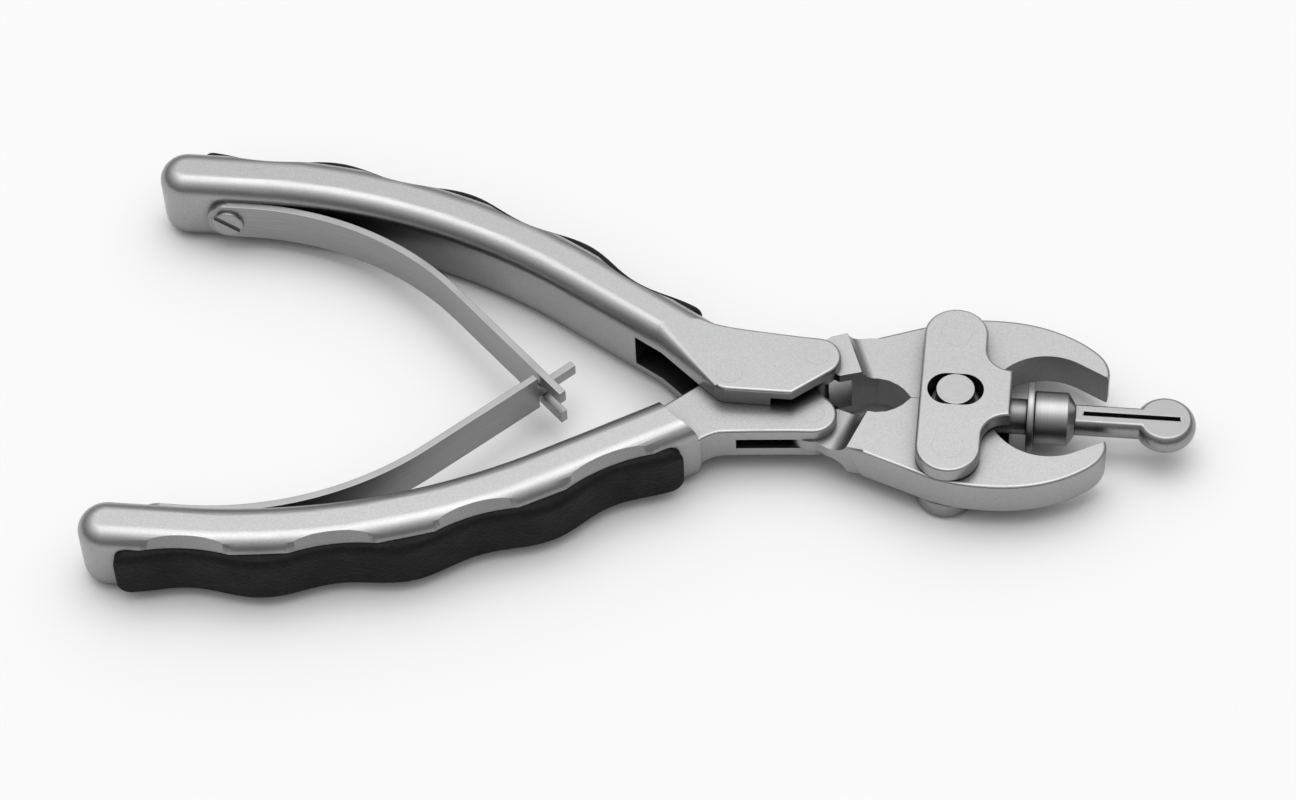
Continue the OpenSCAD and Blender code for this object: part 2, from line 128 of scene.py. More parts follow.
class Nodes:
    """A small helper that wires the node tree of one material."""

    def __init__(self, name: str) -> None:
        """Start a material with its shader and output.

        Args:
            name: the material's name.
        """
        self.material = bpy.data.materials.new(name)
        self.material.use_nodes = True
        self.tree = self.material.node_tree
        self.tree.nodes.clear()
        self.output = self.tree.nodes.new("ShaderNodeOutputMaterial")
        self.shader = self.tree.nodes.new("ShaderNodeBsdfPrincipled")
        self.link(self.shader.outputs["BSDF"], self.output.inputs["Surface"])
        self.coords = self.tree.nodes.new("ShaderNodeTexCoord").outputs["Object"]

    def link(self, source: Socket, target: Socket) -> None:
        """Join two sockets."""
        self.tree.links.new(source, target)

    def noise(self, scale: float, detail: float, vector: Socket | None = None,
              roughness: float = 0.5) -> Socket:
        """Add a noise pattern.

        Args:
            scale: cells per metre.
            detail: how many finer layers are added.
            vector: the coordinates, or None for the object's own.
            roughness: the strength of the finer layers.

        Returns:
            The socket that carries the pattern, near 0 to 1.
        """
        node = self.tree.nodes.new("ShaderNodeTexNoise")
        node.inputs["Scale"].default_value = scale
        node.inputs["Detail"].default_value = detail
        node.inputs["Roughness"].default_value = roughness
        self.link(vector or self.coords, node.inputs["Vector"])
        return node.outputs["Fac"]

    def spread(self, value: Socket, low: float, high: float,
               src_low: float = 0.3, src_high: float = 0.7) -> Socket:
        """Map a pattern to a range.

        Args:
            value: the pattern.
            low: what src_low becomes.
            high: what src_high becomes.
            src_low: the pattern's low end.
            src_high: the pattern's high end.

        Returns:
            The mapped socket.
        """
        node = self.tree.nodes.new("ShaderNodeMapRange")
        node.inputs["From Min"].default_value = src_low
        node.inputs["From Max"].default_value = src_high
        node.inputs["To Min"].default_value = low
        node.inputs["To Max"].default_value = high
        self.link(value, node.inputs["Value"])
        return node.outputs["Result"]

    def ramp(self, value: Socket, dark: Sequence[float],
             light: Sequence[float]) -> Socket:
        """Turn a pattern into a colour between two.

        Args:
            value: the pattern, 0 to 1.
            dark: the colour at 0.
            light: the colour at 1.

        Returns:
            The colour socket.
        """
        node = self.tree.nodes.new("ShaderNodeValToRGB")
        node.color_ramp.elements[0].color = (*dark, 1.0)
        node.color_ramp.elements[1].color = (*light, 1.0)
        self.link(value, node.inputs["Fac"])
        return node.outputs["Color"]

    def bump(self, height: Socket, strength: float, distance: float,
             normal: Socket | None = None) -> Socket:
        """Tilt the surface by a height pattern.

        Args:
            height: the pattern.
            strength: how much of it is used.
            distance: the height of the pattern, in metres.
            normal: the normal to start from.

        Returns:
            The normal socket.
        """
        node = self.tree.nodes.new("ShaderNodeBump")
        node.inputs["Strength"].default_value = strength
        node.inputs["Distance"].default_value = distance
        self.link(height, node.inputs["Height"])
        if normal is not None:
            self.link(normal, node.inputs["Normal"])
        return node.outputs["Normal"]

    def painted_crevice_shade(self, colour: Socket, reach: float, depth: float) -> Socket:
        """Darken a colour where the surface is closely enclosed, as painted shade where near walls block
        the light.

        Args:
            colour: the colour socket.
            reach: how near the enclosing walls have to be, in metres.
            depth: the share of the colour that is left in the deepest places.

        Returns:
            The darkened colour socket.
        """
        shade = self.tree.nodes.new("ShaderNodeAmbientOcclusion")
        shade.samples = 6
        shade.inputs["Distance"].default_value = reach
        factor = self.spread(shade.outputs["AO"], depth, 1.0, 0.05, 0.85)
        mix = self.tree.nodes.new("ShaderNodeVectorMath")
        mix.operation = "SCALE"
        self.link(colour, mix.inputs[0])
        self.link(factor, mix.inputs["Scale"])
        return mix.outputs["Vector"]

    def soft_edge(self, radius: float) -> Socket:
        """Round the shading across sharp edges.

        Args:
            radius: the edge radius in metres.

        Returns:
            The normal socket.
        """
        node = self.tree.nodes.new("ShaderNodeBevel")
        node.samples = 6
        node.inputs["Radius"].default_value = radius
        return node.outputs["Normal"]

    def steel(self, colour: Socket, rough: Socket, grain: Socket,
              strength: float, depth: float, edge: float) -> Material:
        """Finish a bare steel surface.

        Args:
            colour: the colour socket.
            rough: the roughness socket.
            grain: the pattern that roughens the surface.
            strength: how much of the grain is used.
            depth: the height of the grain, in metres.
            edge: the radius that edges are shaded with, in metres.

        Returns:
            The material.
        """
        self.shader.inputs["Metallic"].default_value = 1.0
        self.link(colour, self.shader.inputs["Base Color"])
        self.link(rough, self.shader.inputs["Roughness"])
        normal = self.bump(grain, strength, depth, self.soft_edge(edge))
        self.link(normal, self.shader.inputs["Normal"])
        return self.material

    def stretched(self, scale: Sequence[float]) -> Socket:
        """The object's coordinates, stretched along the axes.

        Args:
            scale: the factor on each axis.

        Returns:
            The vector socket.
        """
        node = self.tree.nodes.new("ShaderNodeMapping")
        node.inputs["Scale"].default_value = scale
        self.link(self.coords, node.inputs["Vector"])
        return node.outputs["Vector"]

    def round_the_axis(self, centre: Vector) -> Socket:
        """Coordinates that are equal all the way round a line along X.

        Args:
            centre: a point of the line.

        Returns:
            The vector socket: place along the line, distance from it, 0.
        """
        shift = self.tree.nodes.new("ShaderNodeMapping")
        shift.inputs["Location"].default_value = (0, -centre.y, -centre.z)
        self.link(self.coords, shift.inputs["Vector"])
        parts = self.tree.nodes.new("ShaderNodeSeparateXYZ")
        self.link(shift.outputs["Vector"], parts.inputs["Vector"])
        flat = self.tree.nodes.new("ShaderNodeCombineXYZ")
        self.link(parts.outputs["Y"], flat.inputs["X"])
        self.link(parts.outputs["Z"], flat.inputs["Y"])
        length = self.tree.nodes.new("ShaderNodeVectorMath")
        length.operation = "LENGTH"
        self.link(flat.outputs["Vector"], length.inputs[0])
        joined = self.tree.nodes.new("ShaderNodeCombineXYZ")
        self.link(parts.outputs["X"], joined.inputs["X"])
        self.link(length.outputs["Value"], joined.inputs["Y"])
        return joined.outputs["Vector"]


@dataclass(frozen=True)
class SatinSteel:
    """Fine bead-blasted steel of handles, jaws and plates."""

    name: str = "satin_steel"
    dark: Triple = (0.295, 0.295, 0.297)
    light: Triple = (0.385, 0.385, 0.387)
    rough_low: float = 0.28
    rough_high: float = 0.36
    grain_per_m: float = 5200.0
    grain_strength: float = 0.3
    edge_radius: float = 0.00007

    def material(self) -> Material:
        """Build the material: blasted grain, cloudy roughness, faint handling marks and painted shade in
        crevices.

        Returns:
            The material.
        """
        n = Nodes(self.name)
        grain = n.noise(self.grain_per_m, 2.0, roughness=0.6)
        speckle = n.noise(self.grain_per_m * 1.1, 3.0, roughness=0.65)
        # painted shade: the colour is darkened by ambient occlusion where walls close in
        colour = n.painted_crevice_shade(n.ramp(n.spread(speckle, 0.0, 1.0), self.dark, self.light), 0.009, 0.2)
        rough = n.spread(n.noise(90.0, 3.0), self.rough_low, self.rough_high)
        return n.steel(colour, rough, grain, self.grain_strength, 0.00004, self.edge_radius)


@dataclass(frozen=True)
class FlushSteel(SatinSteel):
    """The same blasted steel on pins that were ground flush before blasting."""

    name: str = "flush_steel"
    edge_radius: float = 0.00002


@dataclass(frozen=True)
class TurnedSteel:
    """Lathe-turned, lightly polished steel of the mandrel and its collar."""

    centre: Vector
    name: str = "turned_steel"
    dark: Triple = (0.25, 0.25, 0.25)
    light: Triple = (0.34, 0.34, 0.34)
    rough_low: float = 0.27
    rough_high: float = 0.37

    def material(self) -> Material:
        """Build the material: fine rings round the turning axis, with painted shade in crevices.

        Returns:
            The material.
        """
        n = Nodes(self.name)
        ring = n.noise(9000.0, 3.0, n.round_the_axis(self.centre))
        # painted shade: the colour is darkened by ambient occlusion where walls close in
        colour = n.painted_crevice_shade(n.ramp(n.spread(ring, 0.0, 1.0), self.dark, self.light), 0.006, 0.25)
        rough = n.spread(n.noise(400.0, 2.0), self.rough_low, self.rough_high)
        return n.steel(colour, rough, ring, 0.12, 0.00003, 0.00012)


@dataclass(frozen=True)
class SpringSteel:
    """Rolled and ground strip of the leaf springs."""

    name: str = "spring_steel"
    dark: Triple = (0.26, 0.26, 0.262)
    light: Triple = (0.32, 0.32, 0.322)
    lines_per_m: float = 1500.0
    stretch: Triple = (0.12, 0.12, 3.0)
    rough_low: float = 0.30
    rough_high: float = 0.42
    grain_strength: float = 0.1
    edge_radius: float = 0.00012

    def material(self) -> Material:
        """Build the material: fine lines drawn out one way, over a satin ground.

        Returns:
            The material.
        """
        n = Nodes(self.name)
        lines = n.noise(self.lines_per_m, 3.0, n.stretched(self.stretch))
        colour = n.ramp(n.spread(lines, 0.0, 1.0), self.dark, self.light)
        rough = n.spread(lines, self.rough_low, self.rough_high)
        return n.steel(colour, rough, n.noise(5200.0, 2.0), self.grain_strength, 0.00003, self.edge_radius)


@dataclass(frozen=True)
class PinSteel(SpringSteel):
    """Pins and screws, with grinding lines one way across their ends."""

    name: str = "pin_steel"
    dark: Triple = (0.30, 0.30, 0.302)
    light: Triple = (0.36, 0.36, 0.362)
    lines_per_m: float = 2600.0
    stretch: Triple = (0.25, 2.2, 1.0)
    rough_low: float = 0.32
    grain_strength: float = 0.12
    edge_radius: float = 0.0001


@dataclass(frozen=True)
class BlackRubber:
    """Matt moulded rubber of the grips."""

    name: str = "black_rubber"
    dark: Triple = (0.001, 0.001, 0.001)
    light: Triple = (0.004, 0.004, 0.004)

    def material(self) -> Material:
        """Build the material: fine pebbled grain with a dusty bloom.

        Returns:
            The material.
        """
        n = Nodes(self.name)
        n.shader.inputs["Specular IOR Level"].default_value = 0.2
        pebble = n.noise(1700.0, 4.0, roughness=0.6)
        cloud = n.noise(240.0, 3.0)
        n.link(n.ramp(n.spread(pebble, 0.0, 1.0), self.dark, self.light), n.shader.inputs["Base Color"])
        n.link(n.spread(cloud, 0.52, 0.66), n.shader.inputs["Roughness"])
        n.link(n.bump(pebble, 0.8, 0.0003), n.shader.inputs["Normal"])
        return n.material


# ---------------------------------------------------------------- making shapes


@dataclass(frozen=True)
class Bench:
    """Where the tool's measuring frame (mm, from the jaw pin line and mid-plane) lies in the part."""

    x0: float
    z0: float

    @classmethod
    def from_frame(cls) -> "Bench":
        """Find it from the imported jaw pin."""
        low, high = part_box("upper_jaw_pin")
        return cls((low.x + high.x) / 2, (low.z + high.z) / 2)

    @property
    def to_part(self) -> Matrix:
        """The transform from tool millimetres to part metres."""
        return Matrix.Translation((self.x0, 0, self.z0)) @ Matrix.Scale(MM, 4)

    def at(self, x: float, y: float, z: float = 0.0) -> Vector:
        """A point given in tool millimetres, in the part's metres."""
        return self.to_part @ Vector((x, y, z))


def object_from(bm: Solid, name: str) -> Object:
    """Put a bmesh into a new linked object.

    Args:
        bm: the bmesh, which is freed.
        name: the object's name.

    Returns:
        The new object.
    """
    mesh = bpy.data.meshes.new(name)
    bm.to_mesh(mesh)
    bm.free()
    made = bpy.data.objects.new(name, mesh)
    bpy.context.scene.collection.objects.link(made)
    return made


def plan_slab(plan: Plan, z0: float, z1: float) -> Solid:
    """Extrude a closed plan outline between two levels.

    Args:
        plan: the outline's points.
        z0: the lower level.
        z1: the upper level.

    Returns:
        The slab as a bmesh, with its faces pointing outwards.
    """
    bm = bmesh.new()
    corners = [bm.verts.new((x, y, z0)) for x, y in plan]
    face = bm.faces.new(corners)
    lifted = bmesh.ops.extrude_face_region(bm, geom=[face])["geom"]
    tops = [g for g in lifted if isinstance(g, bmesh.types.BMVert)]
    bmesh.ops.translate(bm, verts=tops, vec=(0, 0, z1 - z0))
    face_outwards(bm)
    return bm


def round_bar(radius: float, length: float, start: Vector, axis: Vector) -> Solid:
    """A round bar from a start point along an axis.

    Args:
        radius: its radius.
        length: its length.
        start: the middle of its first end.
        axis: its direction.

    Returns:
        The bar as a bmesh.
    """
    bm = bmesh.new()
    bmesh.ops.create_cone(bm, cap_ends=True, segments=ROUND, radius1=radius, radius2=radius, depth=length)
    turn = axis.to_track_quat("Z", "Y").to_matrix().to_4x4()
    place = Matrix.Translation(start + axis.normalized() * length / 2) @ turn
    bmesh.ops.transform(bm, matrix=place, verts=bm.verts[:])
    return bm


def is_level(edge: Edge) -> bool:
    """Whether both ends of an edge are at one height."""
    return abs(edge.verts[0].co.z - edge.verts[1].co.z) < 1e-3


def face_outwards(bm: Solid) -> None:
    """Make every face point out of its solid."""
    bmesh.ops.recalc_face_normals(bm, faces=bm.faces[:])


def round_over(bm: Solid, edges: Sequence[Edge], width: float, segments: int,
               slide: bool = False) -> None:
    """Round the edges given.

    Args:
        bm: the bmesh to change.
        edges: the edges.
        width: the rounding's width.
        segments: how many strips it has.
        slide: whether its corners keep to the edges beside it, even if its width varies.
    """
    bmesh.ops.bevel(
        bm, geom=edges, offset=width, offset_type="OFFSET", segments=segments, profile=0.5,
        affect="EDGES", clamp_overlap=False, material=-1, loop_slide=slide,
    )


def soften(bm: Solid, width: float, segments: int,
           chosen: Callable[[Edge], bool] | None = None,
           angle: float = 28.0) -> None:
    """Round the outward edges that are sharper than an angle.

    Args:
        bm: the bmesh to change.
        width: the rounding's width.
        segments: how many strips it has.
        chosen: a test of which edges are taken, or None for all.
        angle: the least angle between the faces, in degrees.
    """
    least = math.radians(angle)
    edges = [
        e for e in bm.edges
        if e.is_manifold and e.calc_face_angle_signed() > least and (chosen is None or chosen(e))
    ]
    round_over(bm, edges, width, segments, slide=True)


def slice_across(bm: Solid, place: Sequence[float], normal: Sequence[float]) -> None:
    """Add a line of edges where a plane crosses the mesh.

    Args:
        bm: the bmesh to cut.
        place: a point of the plane.
        normal: the plane's normal.
    """
    everything = bm.verts[:] + bm.edges[:] + bm.faces[:]
    bmesh.ops.bisect_plane(bm, geom=everything, dist=1e-4, plane_co=place, plane_no=normal)


def combine(base: Object, tool: Solid, how: Cut) -> None:
    """Join a solid to an object, or cut it out of it.

    Args:
        base: the object that is changed.
        tool: the other solid, which is used up.
        how: add or take.
    """
    other = object_from(tool, "tool")
    change = base.modifiers.new("change", "BOOLEAN")
    change.operation = how.value
    change.solver = "EXACT"
    change.object = other
    bake(base)
    bpy.data.objects.remove(other)


def bake(piece: Object) -> None:
    """Apply an object's modifiers to its mesh.

    Args:
        piece: the object.
    """
    graph = bpy.context.evaluated_depsgraph_get()
    done = bpy.data.meshes.new_from_object(piece.evaluated_get(graph))
    piece.modifiers.clear()
    piece.data = done


def merge_flats(bm: Solid) -> None:
    """Dissolve the edges inside flat faces."""
    bmesh.ops.dissolve_limit(
        bm, angle_limit=math.radians(0.3), verts=bm.verts[:], edges=bm.edges[:],
        use_dissolve_boundaries=False,
    )


def tidy_mesh(piece: Object) -> None:
    """Merge doubled points and dissolve edges inside flat faces.

    Args:
        piece: the object, in millimetres.
    """
    bm = bmesh.new()
    bm.from_mesh(piece.data)
    bmesh.ops.remove_doubles(bm, verts=bm.verts[:], dist=0.002)
    bmesh.ops.dissolve_degenerate(bm, edges=bm.edges[:], dist=0.002)
    merge_flats(bm)
    bm.to_mesh(piece.data)
    bm.free()


def cad_copy(node: str, bench: Bench) -> Solid:
    """Copy a CAD node's mesh, merged and in tool millimetres.

    Args:
        node: the CAD node's name.
        bench: the measuring frame.

    Returns:
        The copy as a bmesh.
    """
    bm = bmesh.new()
    bm.from_mesh(bpy.data.objects[node].data)
    bmesh.ops.transform(bm, matrix=bench.to_part.inverted(), verts=bm.verts[:])
    bmesh.ops.remove_doubles(bm, verts=bm.verts[:], dist=0.001)
    merge_flats(bm)
    return bm


@dataclass
class Piece:
    """A finished visible piece: its object, and what it stands for."""

    made: Object
    node: str
    finish: Material
    slot: str

    def settle(self, bench: Bench, smooth_deg: float) -> Object:
        """Bring the piece to the part's frame, shade it, dress it and let it replace its node.

        Args:
            bench: the measuring frame.
            smooth_deg: faces that meet at less than this are shaded as one.

        Returns:
            The finished object.
        """
        mesh = self.made.data
        mesh.transform(bench.to_part)
        mesh.shade_smooth()
        mesh.set_sharp_from_angle(angle=math.radians(smooth_deg))
        shade = self.made.modifiers.new("normals", "WEIGHTED_NORMAL")
        shade.keep_sharp = True
        shade.weight = 100
        mesh.materials.clear()
        mesh.materials.append(self.finish)
        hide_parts(self.node)
        LOG.info("%s: %d faces", self.made.name, len(mesh.polygons))
        return self.made


# ---------------------------------------------------------------- handles and grips


@dataclass(frozen=True)
class HandlePath:
    """The line that each handle bar follows in plan, from the head back to the tail."""

    root: Place = (-40.0, 7.55)
    shank: float = 22.9
    bend_r: float = 102.0
    bend_deg: float = 32.0
    tail: float = 11.1
    half_w: float = 4.35

    @property
    def bend_len(self) -> float:
        """Length of the bend."""
        return self.bend_r * math.radians(self.bend_deg)

    @property
    def length(self) -> float:
        """Length of the whole path."""
        return self.shank + self.bend_len + self.tail

    def point(self, s: float, v: float) -> Place:
        """A point of the plan.

        Args:
            s: distance along the path.
            v: distance outwards from it.

        Returns:
            Its x and y in millimetres.
        """
        a = math.radians(self.bend_deg)
        ca, sa = math.cos(a), math.sin(a)
        end = (self.root[0] - self.shank * ca, self.root[1] + self.shank * sa)
        mid = (end[0] - self.bend_r * sa, end[1] - self.bend_r * ca)
        if s < self.shank:
            return self.root[0] - s * ca + v * sa, self.root[1] + s * sa + v * ca
        if s < self.shank + self.bend_len:
            t = a - (s - self.shank) / self.bend_r
            return mid[0] + (self.bend_r + v) * math.sin(t), mid[1] + (self.bend_r + v) * math.cos(t)
        return mid[0] + self.shank + self.bend_len - s, mid[1] + self.bend_r + v

    def stations(self, start: float, end: float, step: float) -> list[float]:
        """Evenly spaced distances from start to end, about a step apart."""
        count = max(2, round((end - start) / step))
        return [start + (end - start) * i / count for i in range(count + 1)]


@dataclass
class Handle:
    """One handle: bar, head, scallops and grip recess."""

    side: Side
    finish: Material
    path: HandlePath = field(default_factory=HandlePath)
    half_h: float = LAYOUT.handle_z
    edge_r: float = 3.0
    edge_strips: int = 9
    pivot: Place = LAYOUT.pivot
    toggle: Place = LAYOUT.toggle
    pivot_boss_r: float = 3.3
    toggle_boss_r: float = 3.65
    pivot_pin_r: float = LAYOUT.pivot_r
    run_fit: float = 0.05
    toggle_pin_r: float = LAYOUT.toggle_r
    lap_z: float = LAYOUT.lap_z
    cheek_z: float = 3.15
    thin_z: float = 4.85
    thin_x: float = -27.5
    slot_half: float = 1.05
    slot_x: float = -32.3
    shoulder_r: float = 11.8
    shoulder_step: float = 0.2
    scallop_r: float = 28.0
    scallop_depth: float = 0.9
    scallop_flare: float = 0.47
    scallop_z: float = 3.9
    first_finger: float = 14.75
    pitch: float = 21.15
    fingers: int = 4
    head_edge: float = 0.5
    heel_roll: float = 2.6
    stub: float = 1.5
    lap_stub: float = 4.6
    recess_gap: float = 0.04
    past: float = 8.0

    def bar(self, stub: float) -> Solid:
        """The rounded bar.

        Args:
            stub: how far it runs on past the path's start, into the head.

        Returns:
            The bar as a bmesh.
        """
        path, w = self.path, self.path.half_w
        places = path.stations(-stub, path.length, 1.8)
        inner = [path.point(s, -w) for s in places]
        outer = [path.point(s, w) for s in reversed(places)]
        cx, cy = path.point(path.length, 0)
        turn = [(cx - w * math.sin(a), cy - w * math.cos(a))
                for a in (math.pi * i / 24 for i in range(1, 24))]
        bm = plan_slab(inner + turn + outer, -self.half_h, self.half_h)
        start = (Vector((*path.point(-stub, -w), 0)), Vector((*path.point(-stub, w), 0)))

        def outline(edge: Edge) -> bool:
            """Whether an edge is on the long outline, and not across the bar's cut end.

            Args:
                edge: the edge to test.

            Returns:
                True for an outline edge.
            """
            ground = [Vector((v.co.x, v.co.y, 0)) for v in edge.verts]
            across = all(min((p - q).length for q in start) < 1e-3 for p in ground)
            return is_level(edge) and not across

        round_over(bm, [e for e in bm.edges if outline(e)], self.edge_r, self.edge_strips)
        face_outwards(bm)
        return bm

    def head(self, low: float, high: float, ease: Plan, roll: float = 0.0) -> Solid:
        """The head in plan between two levels: boss at the pivot, nose at the toggle pin.

        Args:
            low: its lower level.
            high: its upper level.
            ease: the points that lead its outer side into the bar.
            roll: the width of the rounding that carries on from the bar's inner edge.

        Returns:
            The head as a bmesh with softened top and bottom edges.
        """
        (px, py), (tx, ty) = self.pivot, self.toggle
        rp, rt = self.pivot_boss_r, self.toggle_boss_r
        slant = math.radians(40)
        nose = (tx + rt * math.sin(slant), ty - rt * math.cos(slant))
        flat_end = nose[0] - (nose[1] + rp) / math.tan(slant)
        w = self.path.half_w
        boss = [(px - rp * math.sin(a), py - rp * math.cos(a))
                for a in (slant * (1 - i / 8) for i in range(9))]
        tip = [(tx + rt * math.cos(a), ty + rt * math.sin(a))
               for a in (math.radians(-50 + (85 + 50) * i / 26) for i in range(27))]
        inner = self.path.point(6.2, 0.5 - w)
        outer = [(px + 10.5, 8.05), (px + 4, 8.6), (px + 0.5, 8.95)]
        inside = [self.path.point(4.5, 0), inner] + boss + [(flat_end, -rp)]
        bm = plan_slab(inside + tip + outer + ease, low, high)
        if roll:
            corner = [Vector((*p, z)) for p in (inner, boss[0]) for z in (low, high)]
            long = [
                e for e in bm.edges
                if all(min((v.co - c).length for c in corner) < 1e-4 for v in e.verts) and is_level(e)
            ]
            round_over(bm, long, roll, self.edge_strips)
        soften(bm, self.head_edge, 4,
               lambda e: is_level(e) and all(min(v.co.z - low, high - v.co.z) < 1e-4 for v in e.verts))
        face_outwards(bm)
        return bm

    def recess(self, grow: float) -> Solid:
        """The space the grip sits in.

        Args:
            grow: how much larger than the grip it is.

        Returns:
            The cutter as a bmesh.
        """
        bm = Grip.blank(self.path, grow, 6.0)
        floor = self.path.half_w - Grip.depth - grow
        Grip.wrap(bm, self.path, lambda at: floor + at.y)
        return bm

    def carve_bar(self, made: Object) -> None:
        """Cut the finger scallops and the grip's recess out of the bar.

        Args:
            made: the handle.
        """
        for i in range(self.fingers):
            x, y = self.path.point(
                self.first_finger + i * self.pitch, self.path.half_w - self.scallop_depth + self.scallop_r
            )
            for up in (1, -1):
                combine(made, self.scallop(x, y, up), Cut.TAKE)
        combine(made, self.recess(self.recess_gap), Cut.TAKE)

    def scallop(self, x: float, y: float, up: int) -> Solid:
        """The flared cutter of one scallop, above or below the grip.

        Args:
            x: its centre along the tool.
            y: its centre across the tool.
            up: 1 above the grip, -1 below.

        Returns:
            The cutter as a bmesh.
        """
        rise = self.past - self.scallop_z
        bm = bmesh.new()
        bmesh.ops.create_cone(bm, cap_ends=True, segments=360, radius1=self.scallop_r,
                              radius2=self.scallop_r + self.scallop_flare * rise, depth=rise)
        bmesh.ops.translate(bm, verts=bm.verts[:], vec=(x, y, self.scallop_z + rise / 2))
        if up < 0:
            bmesh.ops.scale(bm, verts=bm.verts[:], vec=(1, 1, -1))
            face_outwards(bm)
        return bm

    def post(self, centre: Place, radius: float, low: float, high: float) -> Solid:
        """An upright round bar at a point of the plan."""
        return round_bar(radius, high - low, Vector((*centre, low)), Vector((0, 0, 1)))

    def bore(self, made: Object, centre: Place, radius: float) -> None:
        """Cut an upright hole right through at a point of the plan."""
        combine(made, self.post(centre, radius, -self.past, self.past), Cut.TAKE)

    def block(self, low: Triple, high: Triple) -> Solid:
        """A box between two corners."""
        return plan_slab([(low[0], low[1]), (high[0], low[1]), (high[0], high[1]), (low[0], high[1])],
                         low[2], high[2])

    def lapped(self) -> Object:
        """The handle with the round shoulder and the slotted lap.

        Returns:
            The handle's object.
        """
        made = object_from(self.bar(self.lap_stub), "lower_bar")
        for low, high in ((self.lap_z, self.past), (-self.past, -self.lap_z)):
            combine(made, self.post(self.pivot, self.shoulder_r, low, high), Cut.TAKE)
        self.bore(made, self.pivot, self.shoulder_r - self.shoulder_step)
        px, w = self.pivot[0], self.path.half_w
        ease = [(px - 0.8, 9.15), (px - 1.7, 9.5), (px - 2.5, 9.98), (px - 3.2, 10.5),
                self.path.point(0.2, w - 0.06), self.path.point(3.0, w - 0.1)]
        combine(made, self.head(-self.lap_z, self.lap_z, ease), Cut.ADD)
        self.carve_bar(made)
        combine(made, self.block((self.slot_x, -20, -self.slot_half), (8, 20, self.slot_half)), Cut.TAKE)
        self.bore(made, self.pivot, self.pivot_pin_r + self.run_fit)
        self.bore(made, self.toggle, self.toggle_pin_r)
        return made

    def forked(self) -> Object:
        """The handle whose two cheeks stand over and under the lap.

        Returns:
            The handle's object.
        """
        made = object_from(self.bar(self.stub), "upper_bar")
        px, w = self.pivot[0], self.path.half_w
        ease = [(px - 1.5, 9.25), (px - 2.8, 9.5), (px - 3.7, 9.8), self.path.point(1.2, w - 1.6),
                self.path.point(3.5, w - 3.0)]
        combine(made, self.head(-self.half_h, self.half_h, ease, self.heel_roll), Cut.ADD)
        self.carve_bar(made)
        z, reach = self.cheek_z, self.pivot_boss_r + 0.45
        combine(made, self.post(self.pivot, reach, -z, z), Cut.TAKE)
        combine(made, self.block((self.pivot[0], -20, -z), (26, reach, z)), Cut.TAKE)
        corner = [(px, -6), self.path.point(8.6, -w - 16), self.path.point(8.6, 1.2),
                  self.path.point(-2, 1.2), (self.pivot[0], reach)]
        combine(made, plan_slab(corner, -z, z), Cut.TAKE)
        combine(made, self.block((self.thin_x, -20, -self.thin_z), (10, 20, self.thin_z)), Cut.TAKE)
        self.bore(made, self.pivot, self.pivot_pin_r)
        self.bore(made, self.toggle, self.toggle_pin_r)
        return made

    def build(self) -> Piece:
        """Make the handle and put it on its side of the tool.

        Returns:
            The finished handle.
        """
        made = self.forked() if self.side is Side.UPPER else self.lapped()
        made.name = f"{self.side.word}_handle_steel"
        tidy_mesh(made)
        take_side(made, self.side)
        return Piece(made, self.side.handle, self.finish, "satin_steel")


def take_side(made: Object, side: Side) -> None:
    """Mirror a piece that was modelled for the upper side, if it belongs to the lower one.

    Args:
        made: the piece.
        side: the side it belongs to.
    """
    if side is Side.LOWER:
        made.data.transform(Matrix.Scale(-1, 4, (0, 1, 0)))
        made.data.flip_normals()


